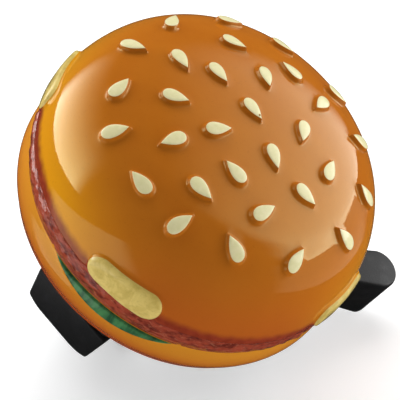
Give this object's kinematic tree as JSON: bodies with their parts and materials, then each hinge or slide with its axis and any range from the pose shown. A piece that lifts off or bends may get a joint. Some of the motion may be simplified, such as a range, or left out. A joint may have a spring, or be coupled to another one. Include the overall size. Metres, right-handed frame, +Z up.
{
  "type": "burger-shaped bicycle bell",
  "caption": "Burger-shaped bicycle bell: painted steel dome with embossed seeds over a geared striker, with a thumb lever and a two-part handlebar clamp.",
  "frame": {"origin": "centre of the handlebar bore", "axes": "+X along the handlebar, +Z up the bell's axis, and the thumb lever reaches out towards +X and +Y"},
  "size_m": [0.0643, 0.0627, 0.0632],
  "materials": {
    "bun_paint": "glossy lacquer",
    "steel": "satin",
    "zinc_plate": "zinc plated",
    "striker_steel": "tumbled",
    "dark_steel": "oiled spring steel",
    "brass": "machined",
    "black_plastic": "fine moulded grain",
    "liner_rubber": "matte"
  },
  "bodies": {
    "base": {"saddle": "black_plastic", "saddle_screws": "steel", "clamp_nuts": "steel", "liner_upper": "liner_rubber", "base_plate": "zinc_plate", "post": "steel", "rotor_clip": "dark_steel", "seat_nut": "steel", "idler_rivet": "steel", "lever_rivet": "steel", "spring_peg": "steel", "return_spring": "dark_steel"},
    "dome": {"dome": "bun_paint", "dome_boss": "steel"},
    "lever": {"lever_plate": "zinc_plate", "thumb_pad": "black_plastic"},
    "idler": {"idler_gear": "brass"},
    "rotor": {"rotor_pinion": "brass", "striker_bar": "zinc_plate", "striker_pins": "steel"},
    "striker_a": {"striker_a": "striker_steel"},
    "striker_b": {"striker_b": "striker_steel"},
    "cap": {"clamp_cap": "black_plastic", "liner_lower": "liner_rubber"},
    "screw_a": {"clamp_screw_a": "steel"},
    "screw_b": {"clamp_screw_b": "steel"}
  },
  "joints": [
    {"name": "dome_lift", "type": "slide", "parent": "base", "child": "dome", "axis": [0, 0, 1], "range_m": [0, 0.036]},
    {"name": "lever_push", "type": "hinge", "parent": "base", "child": "lever", "pos_m": [0.01456, 0.01221, 0.0149], "axis": [0, 0, 1], "range_deg": [0, 34], "stiffness_Nm_per_rad": 0.03, "springref_deg": -22.92, "deforming": ["return_spring"]},
    {"name": "idler_spin", "type": "hinge", "parent": "base", "child": "idler", "pos_m": [-0.00377, 0.01436, 0.0157], "axis": [0, 0, 1], "range_deg": [-123, 2]},
    {"name": "rotor_spin", "type": "hinge", "parent": "base", "child": "rotor", "pos_m": [0, 0, 0.0175], "axis": [0, 0, 1], "range_deg": [-4, 326]},
    {"name": "striker_a_rattle", "type": "hinge", "parent": "rotor", "child": "striker_a", "pos_m": [0.0205, 0, 0.021], "axis": [0, 0, 1], "continuous": true},
    {"name": "striker_b_rattle", "type": "hinge", "parent": "rotor", "child": "striker_b", "pos_m": [-0.0205, 0, 0.021], "axis": [0, 0, 1], "continuous": true},
    {"name": "cap_release", "type": "slide", "parent": "base", "child": "cap", "axis": [0, 0, -1], "range_m": [0, 0.022]},
    {"name": "clamp_screw_a_turn", "type": "hinge", "parent": "cap", "child": "screw_a", "pos_m": [0, 0.0154, 0], "axis": [0, 0, 1], "continuous": true},
    {"name": "clamp_screw_b_turn", "type": "hinge", "parent": "cap", "child": "screw_b", "pos_m": [0, -0.0154, 0], "axis": [0, 0, 1], "continuous": true}
  ],
  "couplings": [
    {"joint": "idler_spin", "follows": "lever_push", "ratio": -3.5556},
    {"joint": "rotor_spin", "follows": "lever_push", "ratio": 9.4815}
  ]
}
